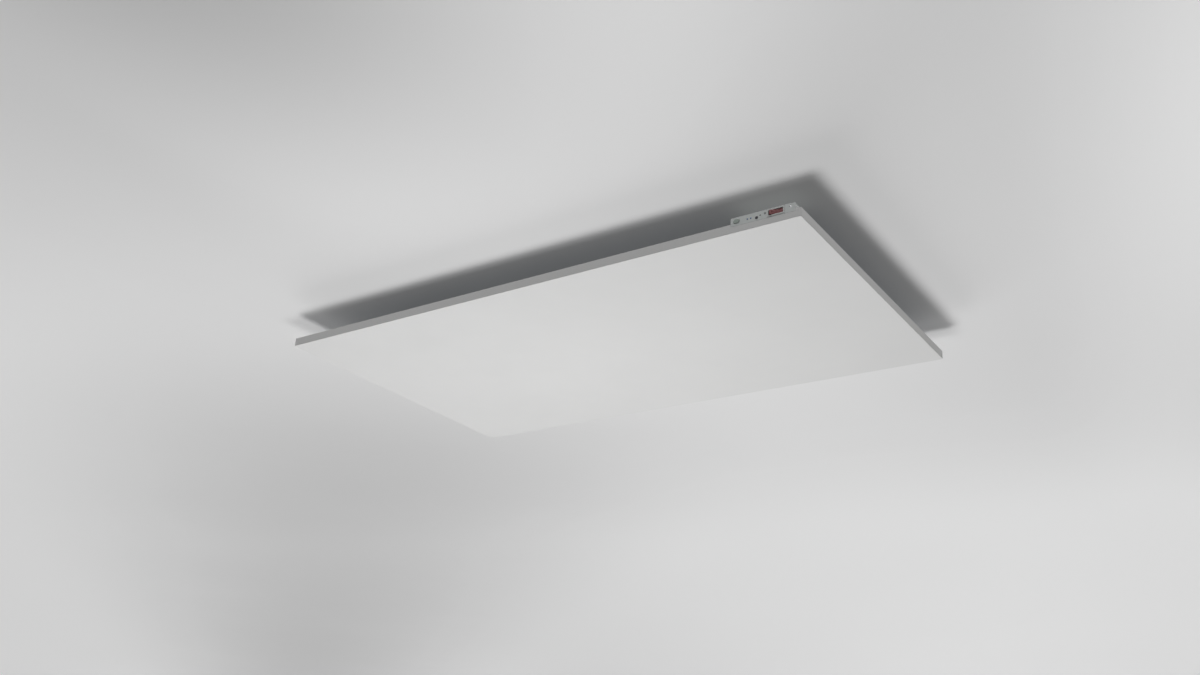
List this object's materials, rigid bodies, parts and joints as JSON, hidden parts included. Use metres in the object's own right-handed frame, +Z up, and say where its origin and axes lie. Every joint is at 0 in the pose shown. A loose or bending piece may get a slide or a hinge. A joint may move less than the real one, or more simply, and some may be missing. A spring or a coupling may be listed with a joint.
{
  "type": "infrared panel heater",
  "caption": "Slim rectangular infrared panel heater that hooks onto ceiling rails, with a mains rocker, push button and status lenses on a corner control housing.",
  "frame": {"origin": "middle of the rectangle of ceiling screw holes, on the plane where the rails meet the ceiling", "axes": "+X along the panel's length towards the control corner, +Y across the panel away from the control side, +Z up to the ceiling"},
  "size_m": [1.05, 0.6029, 0.05],
  "materials": {
    "panel_white": "matt powder coat",
    "galvanised_steel": "satin zinc",
    "bracket_steel": "satin zinc",
    "frame_aluminium": "mill finish",
    "foil_aluminium": "bright",
    "rivet_aluminium": "satin",
    "screw_steel": "zinc plated",
    "pin_steel": "polished",
    "friction_rubber": "matt",
    "bushing_rubber": "matt",
    "block_plastic": "glass filled",
    "film_black": "laminated film",
    "busbar_copper": "bright copper",
    "lug_tin": "tinned",
    "insulation_wool": "mineral wool",
    "insulation_pad": "ceramic felt",
    "limiter_case": "satin",
    "wire_brown": "silicone sheath",
    "wire_blue": "silicone sheath",
    "wire_green_yellow": "silicone sheath",
    "housing_plastic": "fine texture",
    "fascia_plastic": "fine texture",
    "switch_plastic": "satin",
    "rocker_red": "satin",
    "blade_brass": "bright",
    "button_green": "satin",
    "plunger_black": "satin",
    "tact_plastic": "satin",
    "lens_grey": "clear",
    "lens_clear": "clear",
    "lens_blue": "clear",
    "lens_dark": "dark filter",
    "board_green": "solder resist",
    "header_black": "moulded",
    "relay_blue": "moulded",
    "module_black": "potted",
    "capacitor_blue": "sleeved",
    "fuse_brown": "moulded",
    "terminal_white": "heat resistant",
    "earth_brass": "plain"
  },
  "bodies": {
    "ceiling_mount": {"ceiling_rail_front": "bracket_steel", "ceiling_rail_rear": "bracket_steel", "friction_strip_front": "friction_rubber", "friction_strip_rear": "friction_rubber"},
    "panel": {"hanger_rail_front": "bracket_steel", "hanger_rail_rear": "bracket_steel", "hanger_rivets": "rivet_aluminium", "front_panel": "panel_white", "rear_cover": "galvanised_steel", "cover_screws": "screw_steel", "frame_rail_front": "frame_aluminium", "frame_rail_rear": "frame_aluminium", "frame_rail_left": "frame_aluminium", "frame_rail_right": "frame_aluminium", "corner_block_front_left": "block_plastic", "corner_block_front_right": "block_plastic", "corner_block_rear_left": "block_plastic", "corner_block_rear_right": "block_plastic", "heating_film": "film_black", "busbar_front": "busbar_copper", "busbar_rear": "busbar_copper", "solder_lugs": "lug_tin", "insulation_board": "insulation_wool", "reflector_foil": "foil_aluminium", "corner_insulation": "insulation_pad", "thermal_limiter_front": "limiter_case", "thermal_limiter_rear": "limiter_case", "live_lead": "wire_brown", "neutral_lead": "wire_blue", "control_housing": "housing_plastic", "housing_lid": "housing_plastic", "fascia": "fascia_plastic", "housing_screws": "screw_steel", "lid_screws": "screw_steel", "fascia_screw": "screw_steel", "cable_bushing": "bushing_rubber", "earth_stud": "earth_brass", "earth_nut": "earth_brass", "earth_terminal": "lug_tin", "earth_lead": "wire_green_yellow", "switch_body": "switch_plastic", "rocker_pin": "pin_steel", "switch_blades": "blade_brass", "tact_switch": "tact_plastic", "grey_lens": "lens_grey", "clear_lens": "lens_clear", "blue_lenses": "lens_blue", "infrared_lens": "lens_dark", "display_board": "board_green", "power_board": "board_green", "board_header": "header_black", "relay": "relay_blue", "power_module": "module_black", "capacitor": "capacitor_blue", "fuse": "fuse_brown", "terminal_block": "terminal_white", "board_leads": "wire_brown"},
    "rocker": {"power_rocker": "rocker_red"},
    "button": {"oval_button": "button_green", "button_plunger": "plunger_black"}
  },
  "joints": [
    {"name": "unhook_slide", "type": "slide", "parent": "ceiling_mount", "child": "panel", "axis": [0, -1, 0], "range_m": [0, 0.016]},
    {"name": "rocker_tilt", "type": "hinge", "parent": "panel", "child": "rocker", "pos_m": [0.4852, -0.296, -0.032], "axis": [0, 0, -1], "range_deg": [0, 22]},
    {"name": "button_press", "type": "slide", "parent": "panel", "child": "button", "axis": [0, 1, 0], "range_m": [0, 0.0008], "stiffness_N_per_m": 2000, "springref_m": -0.0002}
  ]
}
